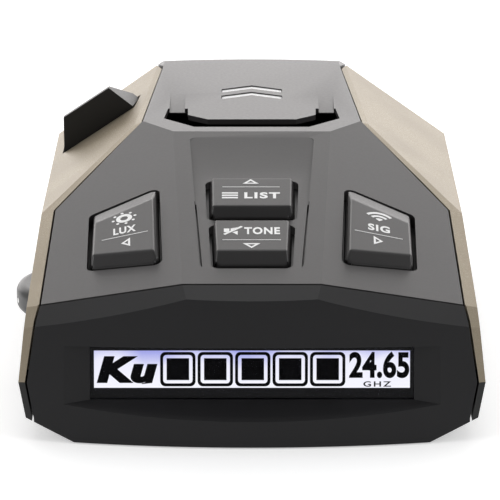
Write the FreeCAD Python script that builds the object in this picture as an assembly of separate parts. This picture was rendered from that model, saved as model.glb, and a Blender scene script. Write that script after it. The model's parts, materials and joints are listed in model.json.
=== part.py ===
import FreeCAD, Part
import functools
import math
import os

V = FreeCAD.Vector
Placement = FreeCAD.Placement
Rotation = FreeCAD.Rotation

# Radar detector, millimetres. +X is the driver's right, +Y points to the road ahead, +Z is up.
# The origin is the middle of the flat face that the detector rests on.

# ---- driving dimensions -------------------------------------------------------------------
WIDTH = 71.0            # over the widest line, where the side panels meet the bottom case
LENGTH = 104.0          # display end to antenna end
HEIGHT = 32.5           # rest face to the flat top
PART_LINE = 8.4         # height at which the bottom case meets the upper mouldings
DECK_TILT = 10.43       # degrees, slope of the key deck towards the driver
FACE_LEAN = 13.0        # degrees, how far the display face leans back
CREASE_Y = 5.55         # where the key deck leaves the flat top
SEAM_Y = -44.0          # where the cover meets the bezel on the centre line
NOSE_BOW = 170.0        # plan radius of the display face
TAIL_BOW = 110.0        # plan radius of the antenna end
TAIL_ROUND = 2.4        # radius of the antenna end's top edge

COVER_WALL = 2.0
PANEL_WALL = 1.6
CASE_WALL = 1.8
BEZEL_WALL = 3.2
FASCIA_WALL = 2.2
GAP = 0.3               # visible joint between mouldings
SLIP = 0.15             # room between a moving key and the part that stops it
REACH = 150.0           # half size of the cutting tools

HALF_W = WIDTH / 2
NOSE_Y = -LENGTH / 2
TAIL_Y = LENGTH / 2
UP = V(0, 0, 1)
CORE = V(0, 0, HEIGHT / 2)

# ---- local frames -------------------------------------------------------------------------
# deck frame: x right, y up the slope, z out of the key deck; its origin is on the crease
DECK = Placement(V(0, CREASE_Y, HEIGHT), Rotation(V(1, 0, 0), DECK_TILT))
# face frame: x right, y up the display face, z out of it; its origin is the lower front edge
FACE = Placement(V(0, NOSE_Y, 0), Rotation(V(1, 0, 0), 90 - FACE_LEAN))


def put(shape, frame):
    """The shape, moved from a local frame into the part's frame."""
    moved = shape.copy()
    moved.Placement = frame.multiply(shape.Placement)
    return moved


def fuse(*shapes):
    """One solid from pieces that touch or overlap."""
    return shapes[0].fuse(list(shapes[1:])).removeSplitter()


def box(x0, x1, y0, y1, z0, z1):
    """Box between two corners."""
    return Part.makeBox(x1 - x0, y1 - y0, z1 - z0, V(x0, y0, z0))


def rod(radius, x, y, z0, z1):
    """Upright cylinder."""
    return Part.makeCylinder(radius, z1 - z0, V(x, y, z0))


def tube(outer, inner, x, y, z0, z1):
    """Upright tube."""
    return rod(outer, x, y, z0, z1).cut(rod(inner, x, y, z0, z1))


def both_sides(right_points):
    """Closed outline: the given right-hand points, then their mirror images."""
    left_points = [(-x, y) for x, y in reversed(right_points)]
    return right_points + left_points


def face_of(points, grow=0.0, level=0.0):
    """Flat face inside an outline, moved outward by grow."""
    wire = Part.makePolygon([V(x, y, level) for x, y in points + points[:1]])
    face = Part.Face(wire)
    if grow:
        face = face.makeOffset2D(grow, 2)
    return face


def prism(points, z0, z1, grow=0.0):
    """Upright prism on an outline."""
    return face_of(points, grow, z0).extrude(V(0, 0, z1 - z0))


def prism_along_y(points, y0, y1, grow=0.0):
    """Prism on an outline given as x and z, run along the detector."""
    upright = face_of(points, grow).extrude(V(0, 0, y1 - y0))
    return put(upright, Placement(V(0, y1, 0), Rotation(V(1, 0, 0), 90)))


def rounded_prism(points, radius, z0, z1):
    """Upright prism with its upright edges rounded."""
    solid = prism(points, z0, z1)
    upright = [e for e in solid.Edges if abs(e.tangentAt(e.FirstParameter).z) > 0.99]
    return solid.makeFillet(radius, upright)


def plane(a, b, c, core=CORE):
    """Plane through three points, with its normal pointing away from the core."""
    normal = (b - a).cross(c - a)
    normal.normalize()
    if normal.dot(a - core) < 0:
        normal = normal * -1
    return a, normal


def beyond(surface, shift=0.0):
    """Tool that fills the space outside a plane moved outward by shift."""
    point, normal = surface
    return Part.makeCylinder(REACH, REACH, point + normal * shift, normal)


def clip(solid, surfaces, shift=0.0):
    """The solid without what lies outside the planes."""
    for surface in surfaces:
        solid = solid.cut(beyond(surface, shift))
    return solid


def mirrored(surface):
    """The same plane on the other side of the centre line."""
    point, normal = surface
    return V(-point.x, point.y, point.z), V(-normal.x, normal.y, normal.z)


def deck_z(y):
    """Height of the key deck's centre plane."""
    return HEIGHT + (y - CREASE_Y) * math.tan(math.radians(DECK_TILT))


def on_surface(surface, x, y):
    """Point of a plane above a place on the ground."""
    point, normal = surface
    return V(x, y, point.z - (normal.x * (x - point.x) + normal.y * (y - point.y)) / normal.z)


# ---- outer form: flat facets, a bowed nose and a bowed tail ---------------------------------
CREASE_X = 12.95        # half length of the crease between flat top and key deck
KINK_X = 10.5           # half length of the centre facet at the bezel seam
crease_end = V(CREASE_X, CREASE_Y, HEIGHT)
hip = V(18.3, 11.6, HEIGHT)                    # flat top, key deck and shoulder meet here
seam_kink = V(KINK_X, SEAM_Y, deck_z(SEAM_Y))
seam_end = V(32.3, -41.4, 19.1)
bevel_kink = V(9.8, -47.0, 21.7)
wide = V(HALF_W, 0, PART_LINE)
wide_up = V(34.4, 0, 18.2)
wide_down = V(34.4, 0, 3.2)
keel = V(27.0, 0, 0)
ALONG = V(0, 10, 0)

top_plane = (V(0, 0, HEIGHT), UP)
deck_plane = plane(V(0, CREASE_Y, HEIGHT), crease_end, seam_kink)
band_plane = plane(seam_kink, V(-KINK_X, SEAM_Y, seam_kink.z), bevel_kink)
wing_plane = plane(hip, crease_end, seam_kink)
shoulder_plane = plane(V(16.6, 49.5, 31.7), V(19.5, 15, 31.7), V(33.5, -10, 24.3))
wall_plane = plane(wide, wide + ALONG, wide_up)
tuck_plane = plane(wide, wide + ALONG, wide_down)
chine_plane = plane(wide_down, wide_down + ALONG, keel)
band_side_plane = plane(seam_kink, seam_end, bevel_kink)
sweep_plane = plane(V(16.6, 49.5, 0), V(34.9, 40.9, 0), V(34.9, 40.9, 10))

# the side mouldings slope down a little towards their joint with the cover
RIM_W = 1.2
RIM_DROP = 0.3
rim_hip = on_surface(shoulder_plane, hip.x + RIM_W, hip.y)
rim_rear = on_surface(shoulder_plane, 15.75 + RIM_W, 45.4)
rim_front = on_surface(shoulder_plane, 33.4, -12.75)
rim_planes = [plane(rim_hip, rim_rear, hip - UP * RIM_DROP), plane(rim_hip, rim_front, hip - UP * RIM_DROP)]

CENTRE_PLANES = [top_plane, deck_plane, band_plane, (V(0, 0, 0), V(0, 0, -1))]
RIGHT_PLANES = [wing_plane, shoulder_plane, wall_plane, tuck_plane, chine_plane,
                band_side_plane, sweep_plane]
ALL_PLANES = CENTRE_PLANES + RIGHT_PLANES + [mirrored(s) for s in RIGHT_PLANES]


@functools.lru_cache(maxsize=None)
def form(inset):
    """The detector's outer form, with every surface moved inward by inset."""
    block = box(-HALF_W, HALF_W, NOSE_Y, TAIL_Y, -1, HEIGHT + 1)
    block = clip(block, ALL_PLANES, -inset)
    lean = math.tan(math.radians(FACE_LEAN))
    foot = NOSE_BOW - inset / math.cos(math.radians(FACE_LEAN))
    tall = HEIGHT + 2
    nose = Part.makeCone(foot + lean, foot + lean - tall * lean, tall, V(0, NOSE_Y + NOSE_BOW, -1))
    tail_axis = V(0, TAIL_Y - TAIL_BOW, 0)
    tail = Part.makeCylinder(TAIL_BOW - inset, HEIGHT - inset, tail_axis)
    if inset < TAIL_ROUND:
        rim = [e for e in tail.Edges if e.Vertexes[0].Z > 1 and e.Vertexes[-1].Z > 1]
        tail = tail.makeFillet(TAIL_ROUND - inset, rim)
    return block.common(nose).common(tail)


# ---- outlines that divide the form into mouldings -------------------------------------------
COVER_PLAN = both_sides([
    (KINK_X, SEAM_Y), (32.3, -41.4), (31.6, -12.75), (18.3, 11.6), (15.75, 45.4), (17.0, 50.2),
    (17.0, 60.0)])
NOSE_PLAN = both_sides([(40.0, -70.0), (40.0, -40.5), (32.3, -41.4), (KINK_X, SEAM_Y)])
BEZEL_FRONT = both_sides([
    (33.0, -3.0), (33.3, 3.2), (34.35, PART_LINE), (32.95, 17.3), (32.4, 19.1), (32.4, 30.0)])
FASCIA_END = both_sides([(23.5, 3.5), (27.0, 6.5), (27.0, 20.5), (22.5, 26.5)])
FASCIA_FRONT_Y = 38.0
LENS_HALF_W = 6.0
LENS_Z = (21.6, 25.2)


def nose_zone(grow):
    """Space that belongs to the display bezel."""
    plan = prism(NOSE_PLAN, -1, HEIGHT, grow)
    return plan.common(prism_along_y(BEZEL_FRONT, NOSE_Y - 5, -35, grow))


def tail_zone(grow):
    """Space that belongs to the antenna fascia."""
    return prism_along_y(FASCIA_END, FASCIA_FRONT_Y, TAIL_Y + 5, grow)


@functools.lru_cache(maxsize=None)
def shell(wall):
    """Hollow skin of the whole form."""
    return form(0).cut(form(wall))


# ---- places that several parts share ---------------------------------------------------------
COVER_BOSSES = [(-29.4, -36.0), (29.4, -36.0)]
PANEL_BOSSES = [(-27.5, 36.5), (27.5, 36.5)]
BOSS_R = 2.6
BOARD_POSTS = [(-24.0, -27.0), (24.0, -27.0), (-18.5, 31.0), (18.5, 31.0)]
POST_R = 2.2
BOARD_Z = 8.6
BOARD_T = 1.0
BOARD_TOP = BOARD_Z + BOARD_T
SPEAKER = (0.0, -20.0)
SPEAKER_R = 14.0

# keys, in the deck frame: outline on the deck, edge runs as near, right, far, left
DECK_FALL = 0.2137      # fall of the side facets per millimetre outward, in the deck frame
KEY_RISE = 1.65
KEY_ROOM = 0.5
KEY_TRAVEL = 0.6
ISLAND_DEPTH = 0.8
ISLAND_FOOT_DEPTH = 0.3
ISLAND_TOP_V = -2.2
ISLAND_FLAT_V = -11.2
ISLAND_END_V = -45.7
KEY_BOARD_W = -9.0      # deck-frame height of the key board's switch side
KEY_BOARD_T = 1.0
SWITCH_H = 2.4
PLUNGER_H = 0.75        # how far a switch plunger stands out
PLUNGER_R = 1.25
KEY_POSTS = [(-10.7, -17.5), (10.7, -17.5), (-10.7, -41.0), (10.7, -41.0)]
KEY_POST_R = 1.7


def wing_w(x, v):
    """Deck-frame height of the side facets."""
    return -DECK_FALL * (abs(x) - CREASE_X) + 0.0103 * v


def island_w(v):
    """Deck-frame height of the sunk centre lane's floor."""
    share = (v - ISLAND_FLAT_V) / (ISLAND_END_V - ISLAND_FLAT_V)
    return -ISLAND_DEPTH + (ISLAND_DEPTH - ISLAND_FOOT_DEPTH) * share


KEYS = {
    "menu": dict(outline=[(-6.5, -28.7), (6.5, -28.7), (6.7, -16.9), (-6.7, -16.9)],
                 pocket=[(-7.1, -29.5), (7.1, -29.5), (7.5, -16.1), (-7.5, -16.1)],
                 runs=[1.1, 0.35, 1.3, 0.35], switch=(0.0, -23.0), side=0),
    "mute": dict(outline=[(-5.7, -44.1), (5.7, -44.1), (6.1, -31.7), (-6.1, -31.7)],
                 pocket=[(-6.25, -45.0), (6.25, -45.0), (6.8, -31.0), (-6.8, -31.0)],
                 runs=[1.9, 0.35, 0.7, 0.35], switch=(0.0, -38.0), side=0),
    "dim": dict(outline=[(-24.9, -40.6), (-14.2, -42.7), (-15.2, -18.9), (-25.1, -23.9)],
                pocket=[(-25.5, -41.0), (-13.7, -43.3), (-14.8, -18.2), (-25.9, -23.5)],
                runs=[1.5, 0.5, 4.1, 0.6], switch=(-19.6, -31.5), side=-1),
    "sensitivity": dict(outline=[(14.2, -42.7), (24.9, -40.6), (25.1, -23.9), (15.2, -18.9)],
                        pocket=[(13.7, -43.3), (25.5, -41.0), (25.9, -23.5), (14.8, -18.2)],
                        runs=[1.5, 0.6, 4.1, 0.5], switch=(19.6, -31.5), side=1),
}


def key_floor(key, x, v):
    """Deck-frame height of the surface around a key."""
    return wing_w(x, v) if key["side"] else island_w(v)


def key_surface(key, lift):
    """Plane parallel to the surface around a key, at a height above it."""
    xs = [p[0] for p in key["outline"]]
    low_v, high_v = -44.0, -18.0
    points = [(min(xs), low_v), (max(xs), low_v), (min(xs), high_v)]
    a, b, c = [V(x, v, key_floor(key, x, v) + lift) for x, v in points]
    return plane(a, b, c, core=V(0, -30, -60))


def key_under(key, lift):
    """The same plane for the underside of the cover, which has no sunk lane."""
    if key["side"]:
        return key_surface(key, lift)
    return V(0, 0, lift), UP


# release tab on the left shoulder
TAB_PLAN = [(-32.1, 23.1), (-20.4, 25.95), (-19.5, 32.4), (-32.1, 30.4)]
TAB_FLANGE = [(-31.9, 22.4), (-19.3, 25.1), (-18.5, 33.3), (-31.9, 31.0)]
TAB_FOOT_Z = 19.6       # lowest point of the hidden flange
TAB_ARM_Z = (21.6, 22.8)
TAB_ROOM = 0.25
TAB_TRAVEL = 1.8
TAB_STEM = (-25.0, 28.5)
TAB_STEM_R = 1.5
TAB_STEM_TIP = 3.0      # how far the stem reaches down inside the spring
TAB_STEM_TOP = 24.0
TAB_FLANGE_T = 1.3      # from the panel's underside to the flange's underside
SPRING_R = 2.2
SPRING_WIRE = 0.25
SPRING_Z = (11.6, 17.6)

# mounting slot in the flat top
SLOT_PLAN = both_sides([(9.5, 8.1), (14.7, 13.0), (14.15, 18.8), (10.8, 18.8), (10.7, 15.1), (7.4, 12.5)])
GUIDE_X = 15.0          # half width of the channel that takes the bracket
GUIDE_Y = (7.3, 32.0)
GUIDE_FLOOR = 26.0
GUIDE_WALL = 1.3
TONGUE_T = 0.9
TOOTH = (-13.4, -11.4, 26.0, 28.4)
TOOTH_RISE = 1.5        # height of the latch tooth above the channel floor

# volume wheel in the left side
WHEEL_R = 8.5
WHEEL_Z = (11.4, 15.7)
WHEEL_PROUD = 1.85      # how far the wheel stands out of the side
WHEEL_X = -(HALF_W + WHEEL_PROUD - WHEEL_R)
WHEEL_Y = -21.0
WHEEL_ROUND = 1.4       # radius of the wheel's edges
WHEEL_CAP = 1.0         # plastic left above the shaft
SHAFT_R = 2.0
CONTROL_R = 4.6

# power inlet in the right side
JACK_Y = 18.0
JACK_Z = 14.6
JACK_BORE_R = 2.75
JACK_PIN_R = 0.65
JACK_FACE_X = 32.5
JACK_LENGTH = 11.0

# horn antenna
HORN_Y = (14.0, 45.0)
HORN_HALF_W = 10.5
HORN_TOP = 21.2
HORN_FEED = 10.0        # length of the feed block
HORN_FEED_HALF_W = 5.5
HORN_FEED_TOP = 17.0

# display, in the face frame: depth is measured inward
WINDOW_HALF_W = 24.6
WINDOW_LOW = 6.9
WINDOW_HIGH = 15.15
RECESS_DEPTH = 3.0
LIP_B = 3.9             # where the recess floor meets the face, up the face


# ---- outer mouldings --------------------------------------------------------------------------
def lane_tool():
    """The sunk lane on the deck that carries the two centre keys, in the deck frame."""
    plan = both_sides([(7.8, ISLAND_END_V), (10.24, ISLAND_TOP_V)])
    lane = rounded_prism(plan, 1.2, -3, 3)
    dive = plane(V(0, ISLAND_TOP_V, 0), V(5, ISLAND_TOP_V, 0), V(0, ISLAND_FLAT_V, -ISLAND_DEPTH),
                 core=V(0, 0, 20))
    flat = plane(V(0, ISLAND_FLAT_V, -ISLAND_DEPTH), V(5, ISLAND_FLAT_V, -ISLAND_DEPTH),
                 V(0, ISLAND_END_V, -ISLAND_FOOT_DEPTH), core=V(0, -30, 20))
    return clip(lane, [dive, flat])


def groove_tool(side):
    """Fine groove along one edge of the sunk lane, in the deck frame."""
    far, near = (9.1, -24.2), (7.95, -44.4)
    outline = [(far[0], far[1]), (near[0], near[1]), (near[0] - 0.35, near[1]), (far[0] - 0.3, far[1])]
    return prism([(side * x, v) for x, v in outline], -1.5, 1)


def slot_ramp(side):
    """Shallow ramp in the flat top that runs down to one end of the mounting slot."""
    x0, x1, y_low, y_high, drop = 11.3, 13.9, 18.4, 27.45, 0.75
    profile = [V(0, y_low, HEIGHT - drop), V(0, y_high, HEIGHT), V(0, y_high, HEIGHT + 1),
               V(0, y_low, HEIGHT + 1)]
    wedge = Part.Face(Part.makePolygon(profile + profile[:1])).extrude(V(x1 - x0, 0, 0))
    wedge.translate(V(x0 if side > 0 else -x1, 0, 0))
    return wedge


def badge_tool():
    """Shallow seat for the printed chevrons on the flat top."""
    shapes = []
    for y in (27.0, 31.0):
        outline = [(0, y), (5.2, y - 2.4), (5.2, y - 0.4), (0, y + 2.0), (-5.2, y - 0.4), (-5.2, y - 2.4)]
        shapes.append(prism(outline, HEIGHT - 0.25, HEIGHT + 1))
    return shapes


def make_cover():
    """Grey top moulding with the key deck, the mounting slot and two screw bosses."""
    cover = shell(COVER_WALL).common(prism(COVER_PLAN, PART_LINE, HEIGHT + 1, -GAP / 2))
    core = form(COVER_WALL / 2)
    for x, y in COVER_BOSSES:
        cover = cover.fuse(tube(BOSS_R, 1.2, x, y, PART_LINE, HEIGHT).common(core))
    for x, v in KEY_POSTS:
        cover = cover.fuse(put(tube(KEY_POST_R, 0.7, x, v, KEY_BOARD_W, -COVER_WALL), DECK))
    tools = [put(lane_tool(), DECK), nose_zone(GAP / 2), tail_zone(GAP / 2)]
    for side in (-1, 1):
        tools.append(put(groove_tool(side), DECK))
        tools.append(slot_ramp(side))
    for key in KEYS.values():
        tools.append(put(rounded_prism(key["pocket"], 1.3, -COVER_WALL - 5, 5), DECK))
    tools.append(prism(SLOT_PLAN, HEIGHT - COVER_WALL - 1, HEIGHT + 1))
    relief = box(-GUIDE_X, GUIDE_X, GUIDE_Y[0] + 1, GUIDE_Y[1], HEIGHT - COVER_WALL - 1, HEIGHT - TONGUE_T)
    full_wall_rim = 3.0
    tools.append(relief.common(prism(COVER_PLAN, 0, HEIGHT, -full_wall_rim)))
    return cover.cut(tools + badge_tool()).removeSplitter()


def side_skin(side):
    """Champagne side moulding without its openings."""
    half = box(0, 60, -60, 60, PART_LINE, HEIGHT + 1)
    if side < 0:
        half = box(-60, 0, -60, 60, PART_LINE, HEIGHT + 1)
    panel = shell(PANEL_WALL).common(half)
    panel = panel.cut([prism(COVER_PLAN, 0, HEIGHT + 1, GAP / 2), nose_zone(GAP / 2), tail_zone(GAP / 2)])
    panel = clip(panel, rim_planes if side > 0 else [mirrored(s) for s in rim_planes])
    core = form(PANEL_WALL / 2)
    for x, y in PANEL_BOSSES:
        if x * side > 0:
            panel = panel.fuse(tube(BOSS_R, 1.2, x, y, PART_LINE, HEIGHT).common(core))
    return panel


def make_left_panel():
    """Left side moulding with slots for the volume wheel and the release tab."""
    wheel_slot = rod(WHEEL_R + 0.4, WHEEL_X, WHEEL_Y, WHEEL_Z[0] - GAP, WHEEL_Z[1] + GAP)
    tab_slot = prism(TAB_PLAN, 18.0, HEIGHT + 2, TAB_ROOM)
    return side_skin(-1).cut([wheel_slot, tab_slot])


def make_right_panel():
    """Right side moulding with the hole for the power plug."""
    hole = Part.makeCylinder(JACK_BORE_R + 0.45, 20, V(HALF_W - 15, JACK_Y, JACK_Z), V(1, 0, 0))
    return side_skin(1).cut(hole)


def make_bottom_case():
    """Black tray with screw bosses, board posts and the speaker grille."""
    case = shell(CASE_WALL).common(box(-60, 60, -60, 60, -1, PART_LINE))
    case = case.cut([nose_zone(GAP / 2), tail_zone(GAP / 2)])
    inside = form(CASE_WALL / 2)
    for x, y in COVER_BOSSES + PANEL_BOSSES:
        case = case.fuse(rod(BOSS_R + 0.6, x, y, CASE_WALL / 2, PART_LINE).common(inside))
    for x, y in BOARD_POSTS:
        case = case.fuse(tube(POST_R, 0.8, x, y, CASE_WALL / 2, BOARD_Z))
    case = case.fuse(tube(SPEAKER_R + 1.2, SPEAKER_R + 0.2, SPEAKER[0], SPEAKER[1], CASE_WALL / 2, 4.0))
    spring_post = rod(3.2, TAB_STEM[0], TAB_STEM[1], CASE_WALL / 2, SPRING_Z[0])
    case = case.fuse(spring_post)
    tools = []
    for x, y in COVER_BOSSES + PANEL_BOSSES:
        tools.append(rod(2.3, x, y, -1, 3.2))
        tools.append(rod(1.4, x, y, 0, PART_LINE + 1))
    pitch = 3.0
    for step in range(-3, 4):
        reach = math.sqrt((SPEAKER_R - 3.0) ** 2 - (step * pitch) ** 2)
        tools.append(box(SPEAKER[0] - reach, SPEAKER[0] + reach, SPEAKER[1] + step * pitch - 0.7,
                         SPEAKER[1] + step * pitch + 0.7, -1, CASE_WALL + 0.1))
    return case.cut(tools).removeSplitter()


def make_bezel():
    """Black display surround with its stepped, ramped recess."""
    bezel = form(0).common(nose_zone(-GAP / 2)).cut(form(BEZEL_WALL))
    edge, fade = WINDOW_HALF_W, 28.5
    depths = [(edge, -RECESS_DEPTH), (fade, -2.4), (fade + 8, -1.2), (fade + 8, 6)]
    outline = [V(x, 0, z) for x, z in depths] + [V(-x, 0, z) for x, z in reversed(depths)]
    recess = Part.Face(Part.makePolygon(outline + outline[:1])).extrude(V(0, WINDOW_HIGH, 0))
    ramp = plane(V(0, LIP_B, 0), V(10, LIP_B, 0), V(0, WINDOW_LOW, -RECESS_DEPTH), core=V(0, 30, 0))
    recess = clip(recess, [ramp])
    window = box(-edge, edge, WINDOW_LOW, WINDOW_HIGH, -9, 0)
    seat = box(-edge - 3.4, edge + 3.4, WINDOW_LOW - 1.6, WINDOW_HIGH + 1.4, -12, -RECESS_DEPTH - 0.9)
    return bezel.cut([put(recess, FACE), put(window, FACE), put(seat, FACE)]).removeSplitter()


def make_fascia():
    """Black end plate in front of the antenna, with the opening for the laser lens."""
    fascia = shell(FASCIA_WALL).common(tail_zone(-GAP / 2))
    return fascia.cut(box(-LENS_HALF_W, LENS_HALF_W, FASCIA_FRONT_Y, TAIL_Y + 1, LENS_Z[0], LENS_Z[1]))


def make_laser_lens():
    """Dark window of the laser receiver, flush with the fascia."""
    slack = 0.05
    opening = box(-LENS_HALF_W + slack, LENS_HALF_W - slack, FASCIA_FRONT_Y, TAIL_Y + 1,
                  LENS_Z[0] + slack, LENS_Z[1] - slack)
    return shell(FASCIA_WALL).common(opening)


# ---- keys and key board -------------------------------------------------------------------------
def make_key(key):
    """Key cap with bevelled edges, a hidden flange and a stem, in the deck frame."""
    outline = key["outline"]
    cap = rounded_prism(outline, 1.1, -COVER_WALL - 6, 4)
    middle = sum((V(x, v, 0) for x, v in outline), V(0, 0, 0)) * 0.25
    top = key_surface(key, KEY_RISE)
    limits = [top]
    for index, run in enumerate(key["runs"]):
        a2 = outline[index]
        b2 = outline[(index + 1) % 4]
        a = V(a2[0], a2[1], key_floor(key, *a2))
        b = V(b2[0], b2[1], key_floor(key, *b2))
        inward = V(a.y - b.y, b.x - a.x, 0)
        inward.normalize()
        limits.append(plane(a, b, a + inward * run + top[1] * KEY_RISE, core=middle + V(0, 0, -60)))
    cap = clip(cap, limits)
    under = key_under(key, -COVER_WALL - SLIP)
    floor = key_under(key, -COVER_WALL - SLIP - 0.8)
    hollow = beyond((floor[0], floor[1] * -1))
    cap = cap.cut(hollow)
    flange = prism(key["pocket"], -COVER_WALL - 8, 4, 0.6)
    flange = clip(flange, [under]).cut(hollow)
    x, v = key["switch"]
    foot = KEY_BOARD_W + SWITCH_H + PLUNGER_H
    stem = rod(1.6, x, v, foot, under[0].z if not key["side"] else wing_w(x, v) - COVER_WALL - 0.5)
    return fuse(cap, flange, stem)


def make_plunger(key):
    """Switch plunger under a key, in the deck frame."""
    x, v = key["switch"]
    top = KEY_BOARD_W + SWITCH_H + PLUNGER_H
    return rod(PLUNGER_R, x, v, top - 2.0, top)


def make_switch(key):
    """Switch body under a key, in the deck frame."""
    x, v = key["switch"]
    body = box(x - 2.25, x + 2.25, v - 2.25, v + 2.25, KEY_BOARD_W, KEY_BOARD_W + SWITCH_H)
    return body.cut(rod(PLUNGER_R + 0.05, x, v, KEY_BOARD_W + 0.4, KEY_BOARD_W + SWITCH_H + 1))


def make_key_board():
    """Circuit board parallel to the key deck, in the deck frame."""
    board = box(-24.5, 24.5, -43.0, -14.5, KEY_BOARD_W - KEY_BOARD_T, KEY_BOARD_W)
    return board.cut([rod(0.9, x, v, KEY_BOARD_W - 2, KEY_BOARD_W + 1) for x, v in KEY_POSTS])


def make_key_board_screws():
    """Four small screws that hold the key board to the cover, in the deck frame."""
    screws = []
    for x, v in KEY_POSTS:
        seat = KEY_BOARD_W - KEY_BOARD_T
        shank = rod(0.65, x, v, seat, KEY_BOARD_W + 3.0)
        screws.append(fuse(shank, rod(1.4, x, v, seat - 0.8, seat)))
    return Part.makeCompound(screws)


# ---- mounting slot and release tab ----------------------------------------------------------------
def make_mount_guide():
    """Black channel under the flat top that the windscreen bracket slides into."""
    top = HEIGHT - COVER_WALL
    x, y0, y1 = GUIDE_X, GUIDE_Y[0], GUIDE_Y[1]
    outer = box(-x - GUIDE_WALL, x + GUIDE_WALL, y0, y1 + GUIDE_WALL, GUIDE_FLOOR - GUIDE_WALL, top)
    inner = box(-x, x, y0 + 0.8, y1, GUIDE_FLOOR, top + 1)
    hole = box(TOOTH[0] - GAP, TOOTH[1] + GAP, TOOTH[2] - GAP, TOOTH[3] + GAP, 20, top)
    guide = outer.cut([inner, hole])
    return guide.common(form(COVER_WALL))


def make_release_tab():
    """Release tab: wedge above the shoulder, flange, stem, and an arm with the latch tooth."""
    body = prism(TAB_PLAN, TAB_FOOT_Z, HEIGHT + 3)
    brow_left, brow_right = V(-32.5, 23.0, 29.4), V(-25.1, 24.8, 33.95)
    ramp_foot = V(-28.0, 31.5, 25.6)
    below = V(TAB_STEM[0], TAB_STEM[1], 0)
    ramp = plane(brow_left + V(0, 1, 0), brow_right + V(0, 1, 0), ramp_foot, core=below)
    brow = plane(brow_left, brow_right, brow_left + V(0, 5, 0), core=below)
    cheek = plane(V(-23.9, 25.1, 33.9), V(-20.3, 25.9, 30.75), V(-19.9, 32.6, 30.75), core=below)
    body = clip(body, [ramp, brow, cheek])
    shoulder_left = mirrored(shoulder_plane)
    under = (shoulder_left[0], shoulder_left[1])
    flange = clip(prism(TAB_FLANGE, TAB_FOOT_Z, HEIGHT), [under], -PANEL_WALL - SLIP)
    pocket = (shoulder_left[0], shoulder_left[1] * -1)
    flange = flange.cut(beyond(pocket, PANEL_WALL + TAB_FLANGE_T))
    x, y = TAB_STEM
    stem = rod(TAB_STEM_R, x, y, SPRING_Z[1] - TAB_STEM_TIP, TAB_STEM_TOP)
    collar = rod(SPRING_R + 0.6, x, y, SPRING_Z[1], TAB_STEM_TOP)
    arm = box(x, TOOTH[1], TOOTH[2], TOOTH[3], *TAB_ARM_Z)
    tooth = box(TOOTH[0], TOOTH[1], TOOTH[2], TOOTH[3], TAB_ARM_Z[0], GUIDE_FLOOR + TOOTH_RISE)
    return fuse(body, flange, collar, stem, arm, tooth)


def make_release_spring():
    """Coil spring under the release tab."""
    turns = 5
    low, high = SPRING_Z
    pitch = (high - low - 2 * SPRING_WIRE) / turns
    helix = Part.makeHelix(pitch, high - low - 2 * SPRING_WIRE, SPRING_R)
    profile = Part.Wire(Part.makeCircle(SPRING_WIRE, V(SPRING_R, 0, 0), V(0, 1, 0)))
    coil = Part.Wire(helix).makePipeShell([profile], True, True)
    coil.translate(V(TAB_STEM[0], TAB_STEM[1], low + SPRING_WIRE))
    return coil


# ---- volume control and power inlet -----------------------------------------------------------------
def make_volume_wheel():
    """Thumb wheel on an upright axis."""
    wheel = rod(WHEEL_R, WHEEL_X, WHEEL_Y, *WHEEL_Z)
    rims = [e for e in wheel.Edges if e.Curve.TypeId == "Part::GeomCircle"]
    wheel = wheel.makeFillet(WHEEL_ROUND, rims)
    return wheel.cut(rod(SHAFT_R, WHEEL_X, WHEEL_Y, WHEEL_Z[0] - 1, WHEEL_Z[1] - WHEEL_CAP))


def make_volume_shaft():
    """Shaft that the thumb wheel is pressed onto."""
    return rod(SHAFT_R, WHEEL_X, WHEEL_Y, BOARD_TOP + 0.5, WHEEL_Z[1] - WHEEL_CAP)


def make_volume_control():
    """Body of the volume control on the main board."""
    foot_x, foot_y, foot_t = 7.5, 3.0, 1.3
    body = rod(CONTROL_R, WHEEL_X, WHEEL_Y, BOARD_TOP, WHEEL_Z[0] - GAP)
    foot = box(WHEEL_X, WHEEL_X + foot_x, WHEEL_Y - foot_y, WHEEL_Y + foot_y, BOARD_TOP, BOARD_TOP + foot_t)
    body = body.fuse(foot)
    return body.cut(rod(SHAFT_R + 0.05, WHEEL_X, WHEEL_Y, BOARD_TOP + 0.4, WHEEL_Z[0] + 1))


def make_power_jack():
    """Round power inlet with its bore open to the right."""
    x1 = JACK_FACE_X
    x0 = x1 - JACK_LENGTH
    body = box(x0, x1, JACK_Y - 4.5, JACK_Y + 4.5, BOARD_TOP, JACK_Z + 4.4)
    bore = Part.makeCylinder(JACK_BORE_R, JACK_LENGTH - 1.5, V(x0 + 1.5, JACK_Y, JACK_Z), V(1, 0, 0))
    return body.cut(bore)


def make_power_pin():
    """Centre contact of the power inlet."""
    x0 = JACK_FACE_X - JACK_LENGTH + 1.5
    pin = Part.makeCylinder(JACK_PIN_R, JACK_LENGTH - 2.5, V(x0, JACK_Y, JACK_Z), V(1, 0, 0))
    tip = [e for e in pin.Edges if e.Vertexes[0].X > JACK_FACE_X - 2 and e.Vertexes[-1].X > JACK_FACE_X - 2]
    return pin.makeFillet(0.5, tip)


# ---- display ---------------------------------------------------------------------------------------
def make_display_window():
    """Clear cover of the display, in the face frame."""
    slack = 0.05
    x, depth = WINDOW_HALF_W - slack, RECESS_DEPTH
    return box(-x, x, WINDOW_LOW + slack, WINDOW_HIGH - slack, -depth - 0.8, -depth)


def make_display_module():
    """Display glass and its carrier, in the face frame."""
    depth = RECESS_DEPTH + 0.95
    x = WINDOW_HALF_W + 2.6
    return box(-x, x, WINDOW_LOW - 1.2, WINDOW_HIGH + 1.0, -depth - 1.8, -depth)


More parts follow.
